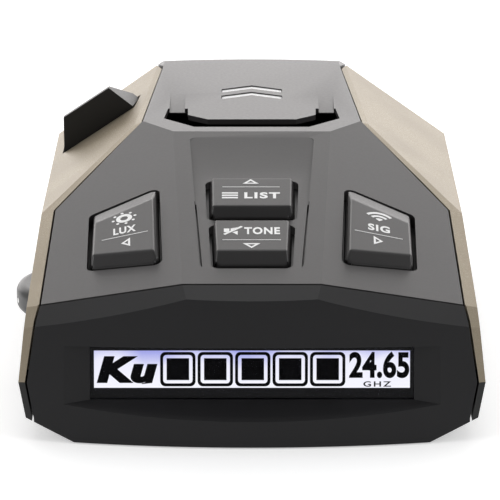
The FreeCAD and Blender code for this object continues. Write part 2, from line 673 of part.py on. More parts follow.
def make_display_flex():
    """Ribbon from the display down to the main board."""
    y_back = -40.8
    z_low, z_high, wide, thick = BOARD_TOP, 13.0, 8.0, 0.2
    upright = box(-wide, wide, y_back, y_back + thick, z_low, z_high)
    flat = box(-wide, wide, y_back, y_back + 5.0, z_low, z_low + thick)
    bridge = box(-wide, wide, -42.6, y_back, z_high - thick, z_high)
    return fuse(upright, flat, bridge)


def make_key_flex():
    """Ribbon from the key board down to the main board."""
    y, wide, thick, lap = -30.0, 6.0, 0.2, 3.0
    tilt = math.radians(DECK_TILT)
    under_w = KEY_BOARD_W - KEY_BOARD_T
    top = deck_z(y) + (under_w - thick / 2) / math.cos(tilt)
    upright = box(-wide, wide, y - thick, y, BOARD_TOP, top)
    foot = box(-wide, wide, y - lap, y, BOARD_TOP, BOARD_TOP + thick)
    v = (y - CREASE_Y + under_w * math.sin(tilt)) / math.cos(tilt)
    head = box(-wide, wide, v - thick, v + lap, under_w - thick, under_w)
    return fuse(upright, foot, put(head, DECK))


# ---- electronics -------------------------------------------------------------------------------------
def make_main_board():
    """Main circuit board with clearances for the case bosses."""
    outline = both_sides([(26.0, -40.0), (32.0, -34.0), (32.0, 34.0), (27.0, 38.5)])
    board = prism(outline, BOARD_Z, BOARD_TOP)
    tools = [rod(BOSS_R + 0.5, x, y, 0, HEIGHT) for x, y in COVER_BOSSES + PANEL_BOSSES]
    tools += [rod(1.1, x, y, 0, HEIGHT) for x, y in BOARD_POSTS]
    tools.append(rod(3.6, TAB_STEM[0], TAB_STEM[1], 0, HEIGHT))
    return board.cut(tools)


def make_board_screws():
    """Four small screws that hold the main board to its posts."""
    screws = []
    for x, y in BOARD_POSTS:
        shank = rod(0.75, x, y, BOARD_Z - 4.5, BOARD_TOP)
        screws.append(fuse(shank, rod(1.7, x, y, BOARD_TOP, BOARD_TOP + 1.0)))
    return Part.makeCompound(screws)


def make_case_screws():
    """Four long screws that close the case from below."""
    screws = []
    for x, y in COVER_BOSSES + PANEL_BOSSES:
        head = rod(2.1, x, y, 1.4, 3.2)
        cross = box(x - 1.2, x + 1.2, y - 0.25, y + 0.25, 1.0, 2.2)
        cross = cross.fuse(box(x - 0.25, x + 0.25, y - 1.2, y + 1.2, 1.0, 2.2))
        screws.append(fuse(head, rod(1.1, x, y, 3.2, 14.0)).cut(cross))
    return Part.makeCompound(screws)


def upright_frame(half_w, y, z0, z1):
    """Rectangular outline across the detector."""
    corners = [V(-half_w, y, z0), V(half_w, y, z0), V(half_w, y, z1), V(-half_w, y, z1)]
    return Part.makePolygon(corners + corners[:1])


def make_horn_antenna():
    """Cast microwave horn: a flared mouth facing the road on a square feed block."""
    throat_y = HORN_Y[0] + HORN_FEED
    feed = box(-HORN_FEED_HALF_W, HORN_FEED_HALF_W, HORN_Y[0], throat_y, BOARD_TOP, HORN_FEED_TOP)
    flare = [upright_frame(HORN_FEED_HALF_W, throat_y, BOARD_TOP, HORN_FEED_TOP),
             upright_frame(HORN_HALF_W, HORN_Y[1], BOARD_TOP, HORN_TOP)]
    thick, thin = 1.9, 1.2
    throat = upright_frame(HORN_FEED_HALF_W - thick, throat_y + 2, BOARD_TOP + thick, HORN_FEED_TOP - thick)
    mouth = upright_frame(HORN_HALF_W - thin, HORN_Y[1] + 0.1, BOARD_TOP + thin, HORN_TOP - thin)
    horn = fuse(feed, Part.makeLoft(flare, True, True))
    return horn.cut(Part.makeLoft([throat, mouth], True, True))


def make_shield_can():
    """Tinned can over the microwave circuit."""
    half_w, y0, y1, height, sheet = 13.0, -12.0, 10.0, 5.0, 0.3
    can = box(-half_w, half_w, y0, y1, BOARD_TOP, BOARD_TOP + height)
    inner = box(-half_w + sheet, half_w - sheet, y0 + sheet, y1 - sheet, BOARD_TOP, BOARD_TOP + height - sheet)
    return can.cut(inner)


def make_laser_sensor():
    """Laser receiver module behind its window."""
    return box(-5.0, 5.0, 38.0, 47.5, 22.0, 25.0)


def make_main_chip():
    """Signal processor."""
    return box(14.5, 22.5, -8, 0, BOARD_TOP, BOARD_TOP + 1.2)


def make_capacitors():
    """Three upright capacitors."""
    places = [(18.0, -16.0), (18.0, -23.0), (27.0, 4.0)]
    return Part.makeCompound([rod(2.5, x, y, BOARD_TOP, BOARD_TOP + 4.4) for x, y in places])


# ---- speaker --------------------------------------------------------------------------------------------
def make_speaker_frame():
    """Round speaker basket standing over the grille."""
    x, y = SPEAKER
    rim = tube(SPEAKER_R, SPEAKER_R - 1.6, x, y, CASE_WALL, 3.6)
    wall = tube(SPEAKER_R - 0.6, SPEAKER_R - 1.6, x, y, 3.6, 5.6)
    plate = tube(SPEAKER_R - 0.6, 6.0, x, y, 5.6, 6.4)
    vents = []
    for turn in range(4):
        vent = box(x + 8.5, x + 11.0, y - 3.5, y + 3.5, 5.0, 7.0)
        vent.rotate(V(x, y, 0), UP, 90 * turn + 45)
        vents.append(vent)
    return fuse(rim, wall, plate).cut(vents)


def make_speaker_magnet():
    """Magnet cup on the back of the speaker."""
    x, y = SPEAKER
    cup = rod(6.0, x, y, 5.6, 8.0)
    return cup.cut(tube(4.6, 3.4, x, y, 5.0, 7.2))


def make_speaker_cone():
    """Speaker cone with its voice coil."""
    x, y = SPEAKER
    outer, coil = SPEAKER_R - 1.9, 4.2
    profile = [V(0, 0, 4.0), V(coil, 0, 4.0), V(outer, 0, 2.7), V(outer, 0, 3.0), V(coil, 0, 4.3), V(0, 0, 4.3)]
    cone = Part.Face(Part.makePolygon(profile + profile[:1])).revolve(V(0, 0, 0), UP, 360)
    cone.translate(V(x, y, 0))
    return fuse(cone, tube(4.2, 3.8, x, y, 4.1, 6.6))


# ---- all parts ----------------------------------------------------------------------------------------------
parts = {
    "top_cover": make_cover(),
    "left_side_panel": make_left_panel(),
    "right_side_panel": make_right_panel(),
    "bottom_case": make_bottom_case(),
    "display_bezel": make_bezel(),
    "antenna_fascia": make_fascia(),
    "laser_lens": make_laser_lens(),
    "mount_guide": make_mount_guide(),
    "release_tab": make_release_tab(),
    "release_spring": make_release_spring(),
    "volume_wheel": make_volume_wheel(),
    "volume_shaft": make_volume_shaft(),
    "volume_control": make_volume_control(),
    "power_jack": make_power_jack(),
    "power_pin": make_power_pin(),
    "display_window": put(make_display_window(), FACE),
    "display_module": put(make_display_module(), FACE),
    "display_flex": make_display_flex(),
    "key_flex": make_key_flex(),
    "key_board": put(make_key_board(), DECK),
    "key_board_screws": put(make_key_board_screws(), DECK),
    "key_switches": put(Part.makeCompound([make_switch(key) for key in KEYS.values()]), DECK),
    "main_board": make_main_board(),
    "board_screws": make_board_screws(),
    "case_screws": make_case_screws(),
    "horn_antenna": make_horn_antenna(),
    "shield_can": make_shield_can(),
    "laser_sensor": make_laser_sensor(),
    "main_chip": make_main_chip(),
    "capacitors": make_capacitors(),
    "speaker_frame": make_speaker_frame(),
    "speaker_magnet": make_speaker_magnet(),
    "speaker_cone": make_speaker_cone(),
}
for name, key in KEYS.items():
    parts[name + "_key"] = put(make_key(key), DECK)
    parts[name + "_plunger"] = put(make_plunger(key), DECK)

os.makedirs("parts", exist_ok=True)
for name, shape in parts.items():
    shape.exportStep("parts/" + name + ".step")
    print(name, len(shape.Solids), shape.isValid(), round(shape.Volume, 1))
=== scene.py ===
import json
import math

import bmesh
import bpy
from mathutils import Matrix, Vector


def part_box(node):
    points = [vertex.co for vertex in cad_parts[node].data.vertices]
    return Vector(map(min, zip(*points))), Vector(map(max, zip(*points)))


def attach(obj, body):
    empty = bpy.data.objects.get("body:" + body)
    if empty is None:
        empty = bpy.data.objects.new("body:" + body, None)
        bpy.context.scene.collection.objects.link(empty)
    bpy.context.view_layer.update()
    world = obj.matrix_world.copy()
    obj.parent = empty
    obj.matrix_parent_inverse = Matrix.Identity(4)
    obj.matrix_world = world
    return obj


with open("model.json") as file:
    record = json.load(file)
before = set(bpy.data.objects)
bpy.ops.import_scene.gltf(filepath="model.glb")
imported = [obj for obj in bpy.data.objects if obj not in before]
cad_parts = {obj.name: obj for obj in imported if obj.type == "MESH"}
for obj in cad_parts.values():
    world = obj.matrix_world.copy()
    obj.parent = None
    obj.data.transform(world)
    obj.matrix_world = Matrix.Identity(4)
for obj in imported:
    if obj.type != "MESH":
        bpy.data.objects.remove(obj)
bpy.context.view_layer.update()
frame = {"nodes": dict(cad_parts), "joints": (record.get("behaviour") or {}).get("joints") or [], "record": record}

MM = 0.001
nodes = frame["nodes"]
scene = bpy.context.scene


# ---- camera and studio -------------------------------------------------------------------------
LENS = 226.4                    # focal length for the sensor width below, mm
SENSOR = 36.0
EYE_MM = (-0.3, -491.4, 182.9)  # camera position
PITCH = 71.0                    # camera tilt from straight down, degrees

SKY_STRENGTH = 0.26
FLOOR_REACH = 3.0               # half size of the floor, metres
FLOOR_DROP = 0.0002             # keeps the floor clear of the underside, metres
FLOOR_GLOW = 0.42

WARM = (1.0, 0.975, 0.965)
WHITE = (1.0, 1.0, 1.0)
BODY_MIDDLE = (0.0, 0.0, 0.03)
FOOT = (0.0, 0.0, 0.0)
# softboxes: name, place, aim, size, watts, tint; places and sizes in metres
SOFTBOXES = [
    ("back_low", (0.0, 1.1, 0.33), BODY_MIDDLE, (2.4, 0.7), 12.6, WARM),
    ("back_high", (0.0, 0.95, 1.05), BODY_MIDDLE, (2.2, 0.7), 4.6, WARM),
    ("overhead", (0.0, 0.45, 1.25), FOOT, (1.4, 0.6), 4.5, WHITE),
    ("left_panel", (-0.9, -0.2, 0.5), FOOT, (0.5, 0.6), 3.0, WHITE),
    ("right_panel", (0.9, -0.2, 0.5), FOOT, (0.5, 0.6), 3.0, WHITE),
]


def make_camera():
    """Camera low in front of the display, with a long lens."""
    data = bpy.data.cameras.new("camera")
    data.lens = LENS
    data.sensor_width = SENSOR
    data.clip_end = 20.0
    camera = bpy.data.objects.new("camera", data)
    camera.location = Vector(EYE_MM) * MM
    camera.rotation_euler = (math.radians(PITCH), 0.0, 0.0)
    scene.collection.objects.link(camera)
    scene.camera = camera


def make_light(name, place, aim, size, power, tint):
    """Rectangular softbox that the camera itself doesn't see."""
    data = bpy.data.lights.new(name, "AREA")
    data.shape = "RECTANGLE"
    data.size, data.size_y = size
    data.energy = power
    data.color = tint
    light = bpy.data.objects.new(name, data)
    light.location = place
    light.rotation_euler = (Vector(aim) - Vector(place)).to_track_quat("-Z", "Y").to_euler()
    light.visible_camera = False
    scene.collection.objects.link(light)


def make_sky():
    """Even pale surroundings."""
    world = bpy.data.worlds.new("studio")
    scene.world = world
    world.use_nodes = True
    sky = world.node_tree.nodes["Background"]
    sky.inputs["Color"].default_value = (1.0, 1.0, 1.0, 1.0)
    sky.inputs["Strength"].default_value = SKY_STRENGTH


def make_floor():
    """Pale floor that glows a little, so that it stays white in the softboxes' shade."""
    mesh = bpy.data.meshes.new("floor")
    reach = FLOOR_REACH
    corners = [(-reach, -reach, 0), (reach, -reach, 0), (reach, reach, 0), (-reach, reach, 0)]
    mesh.from_pydata(corners, [], [(0, 1, 2, 3)])
    floor = bpy.data.objects.new("floor", mesh)
    floor.location.z = -FLOOR_DROP
    scene.collection.objects.link(floor)
    paint = bpy.data.materials.new("floor")
    paint.use_nodes = True
    shader = paint.node_tree.nodes["Principled BSDF"]
    shader.inputs["Base Color"].default_value = (0.85, 0.85, 0.85, 1)
    shader.inputs["Roughness"].default_value = 0.8
    shader.inputs["Emission Color"].default_value = (1.0, 1.0, 1.0, 1)
    shader.inputs["Emission Strength"].default_value = FLOOR_GLOW
    mesh.materials.append(paint)


make_camera()
make_sky()
for softbox in SOFTBOXES:
    make_light(*softbox)
make_floor()
scene.view_settings.view_transform = "Standard"


# ---- materials ---------------------------------------------------------------------------------
class Paint:
    """A node material built up step by step, in object space."""

    def __init__(self, name, colour, rough, metal=0.0, **sockets):
        self.material = bpy.data.materials.new(name)
        self.material.use_nodes = True
        self.tree = self.material.node_tree
        self.shader = self.tree.nodes["Principled BSDF"]
        self.colour = (*colour, 1.0)
        self.shader.inputs["Base Color"].default_value = self.colour
        self.shader.inputs["Roughness"].default_value = rough
        self.shader.inputs["Metallic"].default_value = metal
        for socket, value in sockets.items():
            self.shader.inputs[socket.replace("_", " ")].default_value = value
        self.where = self.tree.nodes.new("ShaderNodeTexCoord").outputs["Object"]

    def noise(self, size_mm, detail=2.0, stretch=(1, 1, 1)):
        """Noise whose grains are about size_mm across."""
        spread = self.tree.nodes.new("ShaderNodeMapping")
        spread.inputs["Scale"].default_value = stretch
        self.tree.links.new(self.where, spread.inputs["Vector"])
        noise = self.tree.nodes.new("ShaderNodeTexNoise")
        noise.inputs["Scale"].default_value = 1.0 / (size_mm * MM)
        noise.inputs["Detail"].default_value = detail
        self.tree.links.new(spread.outputs["Vector"], noise.inputs["Vector"])
        return noise.outputs["Fac"]

    def ramp(self, value, low, high, to_low, to_high):
        """Value remapped from one range to another."""
        node = self.tree.nodes.new("ShaderNodeMapRange")
        self.tree.links.new(value, node.inputs["Value"])
        node.inputs["From Min"].default_value = low
        node.inputs["From Max"].default_value = high
        node.inputs["To Min"].default_value = to_low
        node.inputs["To Max"].default_value = to_high
        return node.outputs["Result"]

    def tint(self, value, other, low=0.35, high=0.65):
        """Colour that wanders between the base and another colour."""
        mix = self.tree.nodes.new("ShaderNodeMix")
        mix.data_type = "RGBA"
        self.tree.links.new(self.ramp(value, low, high, 0.0, 1.0), mix.inputs["Factor"])
        current = self.shader.inputs["Base Color"]
        if current.links:
            self.tree.links.new(current.links[0].from_socket, mix.inputs["A"])
        else:
            mix.inputs["A"].default_value = self.colour
        mix.inputs["B"].default_value = (*other, 1.0)
        self.tree.links.new(mix.outputs["Result"], current)

    def gloss(self, value, low_rough, high_rough):
        """Roughness that varies over the surface."""
        rough = self.ramp(value, 0.3, 0.7, low_rough, high_rough)
        self.tree.links.new(rough, self.shader.inputs["Roughness"])

    def bump(self, value, height_mm):
        """Surface relief of the given height."""
        node = self.tree.nodes.new("ShaderNodeBump")
        node.inputs["Distance"].default_value = height_mm * MM
        node.inputs["Strength"].default_value = 1.0
        self.tree.links.new(value, node.inputs["Height"])
        current = self.shader.inputs["Normal"]
        if current.links:
            self.tree.links.new(current.links[0].from_socket, node.inputs["Normal"])
        self.tree.links.new(node.outputs["Normal"], current)


def moulded(name, colour, rough, grain_mm=0.12, grain_depth=0.004, drift=0.08, **sockets):
    """Satin moulded plastic: fine spark grain, faint flow marks and uneven sheen."""
    paint = Paint(name, colour, rough, **sockets)
    lighter = tuple(min(1.0, c * (1 + drift)) for c in colour)
    paint.tint(paint.noise(9.0, 3.0), lighter)
    paint.gloss(paint.noise(0.5, 2.0), rough - 0.02, rough + 0.03)
    paint.bump(paint.noise(grain_mm, 3.0), grain_depth)
    return paint.material


def coated(name, colour, rough, flake):
    """Metallic paint: small flakes under a satin coat."""
    paint = Paint(name, colour, rough, metal=0.4)
    paint.tint(paint.noise(0.16, 1.0), flake, 0.52, 0.72)
    paint.tint(paint.noise(14.0, 2.0), tuple(c * 0.93 for c in colour))
    paint.gloss(paint.noise(0.2, 1.0), rough - 0.05, rough + 0.08)
    paint.bump(paint.noise(0.3, 2.0), 0.003)
    return paint.material


def glass_like(name, colour, rough, alpha=1.0, **sockets):
    """Polished surface with faint smears."""
    paint = Paint(name, colour, rough, **sockets)
    paint.shader.inputs["Alpha"].default_value = alpha
    paint.gloss(paint.noise(6.0, 4.0), rough, rough + 0.06)
    return paint.material


def metal(name, colour, rough, brushed=(1, 1, 1)):
    """Bare metal with fine brushing or casting grain."""
    paint = Paint(name, colour, rough, metal=1.0)
    paint.tint(paint.noise(1.5, 3.0), tuple(c * 0.8 for c in colour))
    paint.gloss(paint.noise(0.4, 3.0, brushed), rough - 0.08, rough + 0.1)
    paint.bump(paint.noise(0.2, 2.0, brushed), 0.004)
    return paint.material


def board(name, colour):
    """Solder mask with faint copper tracks under it."""
    paint = Paint(name, colour, 0.3)
    lighter = tuple(min(1.0, c * 1.9 + 0.01) for c in colour)
    paint.tint(paint.noise(2.2, 0.0, (1, 4, 1)), lighter, 0.5, 0.53)
    paint.bump(paint.noise(0.5, 1.0), 0.006)
    return paint.material


def lit_field(name):
    """Backlit glass: lavender at the top, near-white below, a little uneven."""
    paint = Paint(name, (0.02, 0.02, 0.03), 0.3)
    low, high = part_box("display_window")
    foot, head = 1.8, 0.4           # gradient's ends, from the window's edges, mm
    tree = paint.tree
    split = tree.nodes.new("ShaderNodeSeparateXYZ")
    tree.links.new(paint.where, split.inputs["Vector"])
    rise = paint.ramp(split.outputs["Z"], low[2] + foot * MM, high[2] - head * MM, 0.0, 1.0)
    wander = paint.ramp(paint.noise(7.0, 1.0), 0.3, 0.7, -0.15, 0.15)
    total = tree.nodes.new("ShaderNodeMath")
    tree.links.new(rise, total.inputs[0])
    tree.links.new(wander, total.inputs[1])
    colours = tree.nodes.new("ShaderNodeValToRGB")
    tree.links.new(total.outputs[0], colours.inputs["Fac"])
    stops = colours.color_ramp
    stops.elements[0].position = 0.0
    stops.elements[0].color = (0.92, 0.92, 1.0, 1)
    stops.elements[1].position = 1.0
    stops.elements[1].color = (0.36, 0.38, 0.80, 1)
    middle = stops.elements.new(0.55)
    middle.color = (0.84, 0.84, 0.97, 1)
    tree.links.new(colours.outputs["Color"], paint.shader.inputs["Emission Color"])
    paint.shader.inputs["Emission Strength"].default_value = 1.12
    return paint.material


def cloth(name, colour):
    """Woven speaker cloth: two sets of threads as relief."""
    paint = Paint(name, colour, 0.8)
    paint.shader.inputs["Sheen Weight"].default_value = 0.3
    scale = 0.32 / MM               # gives a thread about every millimetre
    for direction in ("X", "Y"):
        wave = paint.tree.nodes.new("ShaderNodeTexWave")
        wave.bands_direction = direction
        wave.inputs["Scale"].default_value = scale
        paint.tree.links.new(paint.where, wave.inputs["Vector"])
        paint.bump(wave.outputs["Fac"], 0.05)
    paint.tint(paint.noise(0.6, 2.0), tuple(c * 1.8 for c in colour))
    return paint.material


COVER = (0.0395, 0.0372, 0.0378)
MATERIALS = {
    "cover_grey": moulded("cover_grey", COVER, 0.36),
    "champagne": coated("champagne", (0.31, 0.262, 0.192), 0.47, (0.45, 0.395, 0.31)),
    "case_black": moulded("case_black", (0.012, 0.012, 0.012), 0.5, 0.18, 0.008),
    "bezel_black": moulded("bezel_black", (0.0068, 0.0066, 0.0076), 0.42, 0.1, 0.003,
                           Specular_IOR_Level=0.4),
    "key_grey": moulded("key_grey", (0.028, 0.0268, 0.0272), 0.34, 0.1, 0.003),
    "tab_black": moulded("tab_black", (0.011, 0.011, 0.011), 0.4, 0.12, 0.004),
    "wheel_grey": moulded("wheel_grey", (0.05, 0.05, 0.049), 0.36, 0.1, 0.003),
    "window_clear": glass_like("window_clear", (0.01, 0.01, 0.014), 0.04, 0.06,
                               Specular_IOR_Level=0.12),
    "display_glass": glass_like("display_glass", (0.004, 0.004, 0.006), 0.1),
    "lens_dark": glass_like("lens_dark", (0.02, 0.002, 0.003), 0.06),
    "metal": metal("metal", (0.62, 0.61, 0.60), 0.32, (1, 12, 1)),
    "spring_steel": metal("spring_steel", (0.58, 0.58, 0.58), 0.25),
    "screw_steel": metal("screw_steel", (0.06, 0.06, 0.065), 0.4),
    "cast_metal": metal("cast_metal", (0.45, 0.45, 0.46), 0.5),
    "contact_brass": metal("contact_brass", (0.75, 0.6, 0.3), 0.25),
    "board_green": board("board_green", (0.008, 0.10, 0.035)),
    "component_black": moulded("component_black", (0.016, 0.016, 0.017), 0.45, 0.08, 0.003),
    "capacitor_can": metal("capacitor_can", (0.5, 0.5, 0.52), 0.3, (1, 1, 14)),
    "flex_amber": glass_like("flex_amber", (0.35, 0.13, 0.01), 0.25),
    "cone_paper": moulded("cone_paper", (0.02, 0.02, 0.02), 0.8, 0.4, 0.03),
    "legend_white": moulded("legend_white", (0.88, 0.88, 0.88), 0.5, 0.08, 0.002),
    "display_lit": lit_field("display_lit"),
    "display_ink": moulded("display_ink", (0.001, 0.001, 0.002), 0.6, 0.08, 0.001,
                           Specular_IOR_Level=0.1),
    "speaker_cloth": cloth("speaker_cloth", (0.012, 0.012, 0.012)),
}


# ---- carried-over CAD nodes --------------------------------------------------------------------
WELD_MM = 0.0005            # vertices closer than this are joined
FLAT_ANGLE = 0.4            # triangles this close to one plane become one face, degrees
SOFT_ANGLE = 9.0            # edges sharper than this are rounded, degrees
SOFTEN_MM = {
    "top_cover": 0.22, "left_side_panel": 0.25, "right_side_panel": 0.25, "bottom_case": 0.25,
    "display_bezel": 0.22, "antenna_fascia": 0.25, "release_tab": 0.5, "mount_guide": 0.12,
    "menu_key": 0.3, "mute_key": 0.3, "dim_key": 0.35, "sensitivity_key": 0.35,
    "power_jack": 0.15, "horn_antenna": 0.2, "shield_can": 0.2, "capacitors": 0.3, "main_chip": 0.1,
    "laser_lens": 0.1, "case_screws": 0.12, "speaker_frame": 0.15, "volume_control": 0.15,
}
HOLED = {"bottom_case"}     # its floor has slots, which one merged face can't have


def soften(node, width_mm):
    """Rounds a node's sharp edges with modifiers, so that they catch light."""
    weld = node.modifiers.new("weld", "WELD")
    weld.merge_threshold = WELD_MM * MM
    if node.name not in HOLED:
        flat = node.modifiers.new("flat", "DECIMATE")
        flat.decimate_type = "DISSOLVE"
        flat.angle_limit = math.radians(FLAT_ANGLE)
        flat.delimit = {"SHARP"}
    bevel = node.modifiers.new("bevel", "BEVEL")
    bevel.width = width_mm * MM
    bevel.segments = 3
    bevel.limit_method = "ANGLE"
    bevel.angle_limit = math.radians(SOFT_ANGLE)
    bevel.miter_outer = "MITER_ARC"
    bevel.harden_normals = True
    bevel.use_clamp_overlap = not node.name.endswith("_key")


def dress_nodes():
    """Gives every CAD node its material and, where it helps, rounded edges."""
    slots = {s["node"]: s["material_slot"] for s in frame["record"]["subparts"]}
    for name, node in nodes.items():
        node.data.materials.clear()
        node.data.materials.append(MATERIALS[slots[name]])
        if "custom_normal" in node.data.attributes:
            node.data.attributes.remove(node.data.attributes["custom_normal"])
        for polygon in node.data.polygons:
            polygon.use_smooth = True
        if name in SOFTEN_MM:
            soften(node, SOFTEN_MM[name])


dress_nodes()


# ---- flat artwork ------------------------------------------------------------------------------
PRINT_RISE = 0.03    # how far printed artwork stands proud, mm


class Art:
    """Flat shapes in millimetres, gathered into one thin mesh."""

    def __init__(self):
        self.mesh = bmesh.new()

    def outline(self, points):
        """Filled polygon."""
        corners = [self.mesh.verts.new((x, y, 0)) for x, y in points]
        self.mesh.faces.new(corners)

    def ring(self, outer, inner):
        """Band between two outlines with the same number of points."""
        count = len(outer)
        rim, hole = [[self.mesh.verts.new((x, y, 0)) for x, y in loop] for loop in (outer, inner)]
        for i in range(count):
            j = (i + 1) % count
            self.mesh.faces.new([rim[i], rim[j], hole[j], hole[i]])

    def bar(self, x0, x1, y0, y1):
        """Rectangle."""
        self.outline([(x0, y0), (x1, y0), (x1, y1), (x0, y1)])

    def stroke(self, points, wide):
        """Line of even width along points."""
        left, right = [], []
        for i, (x, y) in enumerate(points):
            before = points[max(i - 1, 0)]
            after = points[min(i + 1, len(points) - 1)]
            along = Vector((after[0] - before[0], after[1] - before[1])).normalized()
            left.append((x - along.y * wide / 2, y + along.x * wide / 2))
            right.append((x + along.y * wide / 2, y - along.x * wide / 2))
        for i in range(len(points) - 1):
            self.outline([right[i], right[i + 1], left[i + 1], left[i]])

    def triangle(self, tip, base_a, base_b, wide):
        """Outlined triangle."""
        corners = [Vector(p) for p in (tip, base_a, base_b)]
        sides = [(corners[(i + 2) % 3] - corners[(i + 1) % 3]).length for i in range(3)]
        span = sum(sides)
        middle = sum((c * s for c, s in zip(corners, sides)), Vector((0, 0))) / span
        area = abs((corners[1] - corners[0]).cross(corners[2] - corners[0])) / 2
        shrink = 1 - wide / (2 * area / span)
        inner = [tuple(middle + (c - middle) * shrink) for c in corners]
        self.ring([tuple(c) for c in corners], inner)

    def words(self, text, x0, x1, y0, y1, heavy, slant=0.0, gap=1.0):
        """Lettering stretched to a box, in Blender's own font."""
        curve = bpy.data.curves.new("letters", "FONT")
        curve.body = text
        curve.offset = heavy
        curve.space_character = gap
        curve.shear = slant
        curve.resolution_u = 6
        holder = bpy.data.objects.new("letters", curve)
        scene.collection.objects.link(holder)
        bpy.context.view_layer.update()
        graph = bpy.context.evaluated_depsgraph_get()
        flat = bpy.data.meshes.new_from_object(holder.evaluated_get(graph))
        bpy.data.objects.remove(holder)
        xs = [v.co.x for v in flat.vertices]
        ys = [v.co.y for v in flat.vertices]
        wide, tall = max(xs) - min(xs), max(ys) - min(ys)
        place = {}
        for v in flat.vertices:
            x = x0 + (v.co.x - min(xs)) * (x1 - x0) / wide
            y = y0 + (v.co.y - min(ys)) * (y1 - y0) / tall
            place[v.index] = self.mesh.verts.new((x, y, 0))
        for polygon in flat.polygons:
            self.mesh.faces.new([place[i] for i in polygon.vertices])
        bpy.data.meshes.remove(flat)

    def turn(self, degrees):
        """Turns everything drawn so far about the origin."""
        turn = Matrix.Rotation(math.radians(degrees), 3, "Z")
        bmesh.ops.rotate(self.mesh, matrix=turn, verts=self.mesh.verts)

    def finish(self, name, place, body, material, slot, rise_mm=PRINT_RISE, sink_mm=PRINT_RISE):
        """The shapes as one thin piece: rise above a place's plane and sink below it."""
        for face in self.mesh.faces:
            face.normal_update()
            if face.normal.z < 0:
                face.normal_flip()
        mesh = bpy.data.meshes.new(name)
        self.mesh.to_mesh(mesh)
        self.mesh.free()
        mesh.transform(place @ Matrix.Translation((0, 0, rise_mm * MM)) @ Matrix.Scale(MM, 4))
        mesh.materials.append(MATERIALS[material])
        piece = bpy.data.objects.new(name, mesh)
        scene.collection.objects.link(piece)
        solid = piece.modifiers.new("thickness", "SOLIDIFY")
        solid.thickness = (rise_mm + sink_mm) * MM
        solid.offset = -1.0
        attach(piece, body)


def circle(x, y, radius, count=32, start=0.0, sweep=360.0):
    """Points on a circle or an arc, angles in degrees."""
    steps = count if sweep >= 360.0 else count - 1
    turns = [math.radians(start + sweep * i / steps) for i in range(count)]
    return [(x + radius * math.cos(t), y + radius * math.sin(t)) for t in turns]


def rounded_box(x0, x1, y0, y1, radius, count=6):
    """Outline of a box with round corners."""
    points = []
    corners = [(x1 - radius, y1 - radius, 0), (x0 + radius, y1 - radius, 90),
               (x0 + radius, y0 + radius, 180), (x1 - radius, y0 + radius, 270)]
    for x, y, start in corners:
        points += circle(x, y, radius, count, start, 90.0)
    return points


def frame_at(origin, normal):
    """Matrix of a plane: x level and to the right, y up the plane, z out of it."""
    z = Vector(normal).normalized()
    x = (Vector((1, 0, 0)) - z * z.x).normalized()
    y = z.cross(x)
    matrix = Matrix((x, y, z)).transposed().to_4x4()
    matrix.translation = origin
    return matrix


def key_top(name):
    """Plane of a key's printed face, at the middle of the face."""
    mesh = nodes[name].data
    press = next(j["axis"] for j in frame["joints"] if j["child"] == name + "_body")
    out = -Vector(press)
    level = [p for p in mesh.polygons if p.normal.dot(out) > 0.96]
    height = max(p.center.dot(p.normal) for p in level)
    face = [p for p in level if p.center.dot(p.normal) > height - 0.2 * MM]
    place = frame_at((0, 0, 0), max(face, key=lambda p: p.area).normal)
    corners = [place.inverted() @ mesh.vertices[i].co for p in face for i in p.vertices]
    middle = [(min(c[k] for c in corners) + max(c[k] for c in corners)) / 2 for k in range(3)]
    return place @ Matrix.Translation(middle)


# ---- key legends -------------------------------------------------------------------------------
# Places are in millimetres from the middle of the key's face, or from the legend's own sign.
LINE = 0.14                         # thickness of the thin rules
ARROW = 0.33                        # line thickness of the arrows
HEAVY = 0.035                       # how far the letters are thickened, in font sizes
SPREAD = 1.14                       # spacing of the letters, 1 is the font's own
SUN = (0.0, 3.37)                   # centre of the sun on the dim key
WAVES = (0.0, 2.44)                 # source of the waves on the sensitivity key
DIM_TURN = 2.5                      # the outer keys' legends are turned a little, degrees
SENSITIVITY_TURN = -1.0


def rule(art, x0, x1, y):
    """Thin rule between the word and the arrow."""
    art.bar(x0, x1, y, y + LINE)


def print_legend(art, key):
    """Prints a legend on the face of a key."""
    place = key_top(key + "_key")
    art.finish(key + "_legend", place, key + "_key_body", "legend_white", "legend_white")


def menu_legend():
    """Arrow, rule, three bars and a word."""
    art = Art()
    art.triangle((-0.2, 4.3), (-1.5, 2.75), (1.1, 2.75), ARROW)
    rule(art, -4.7, 4.4, 1.58)
    top, pitch, thick = -0.2, 0.8, 0.46
    for row in range(3):
        level = top - row * pitch
        art.bar(-4.75, -2.2, level - thick, level)
    art.words("LIST", -1.2, 4.45, -2.3, top, 0.04, gap=1.2)
    print_legend(art, "menu")


def mute_legend():
    """Crossed-out loudspeaker, a word, a rule and an arrow."""
    art = Art()
    art.outline([(-4.35, 0.9), (-3.5, 0.9), (-3.5, 2.05), (-4.35, 2.05)])
    art.outline([(-3.3, 1.45), (-2.2, 2.25), (-2.2, 2.45), (-3.3, 2.05)])
    art.outline([(-3.05, 0.85), (-2.2, 0.0), (-2.2, 1.3)])
    art.stroke([(-4.3, 0.15), (-1.55, 2.75)], 0.42)
    art.words("TONE", -1.2, 4.35, 0.2, 2.5, HEAVY, gap=SPREAD)
    rule(art, -4.55, 4.45, -1.67)
    art.triangle((-0.05, -4.25), (-1.4, -2.72), (1.3, -2.72), ARROW)
    print_legend(art, "mute")


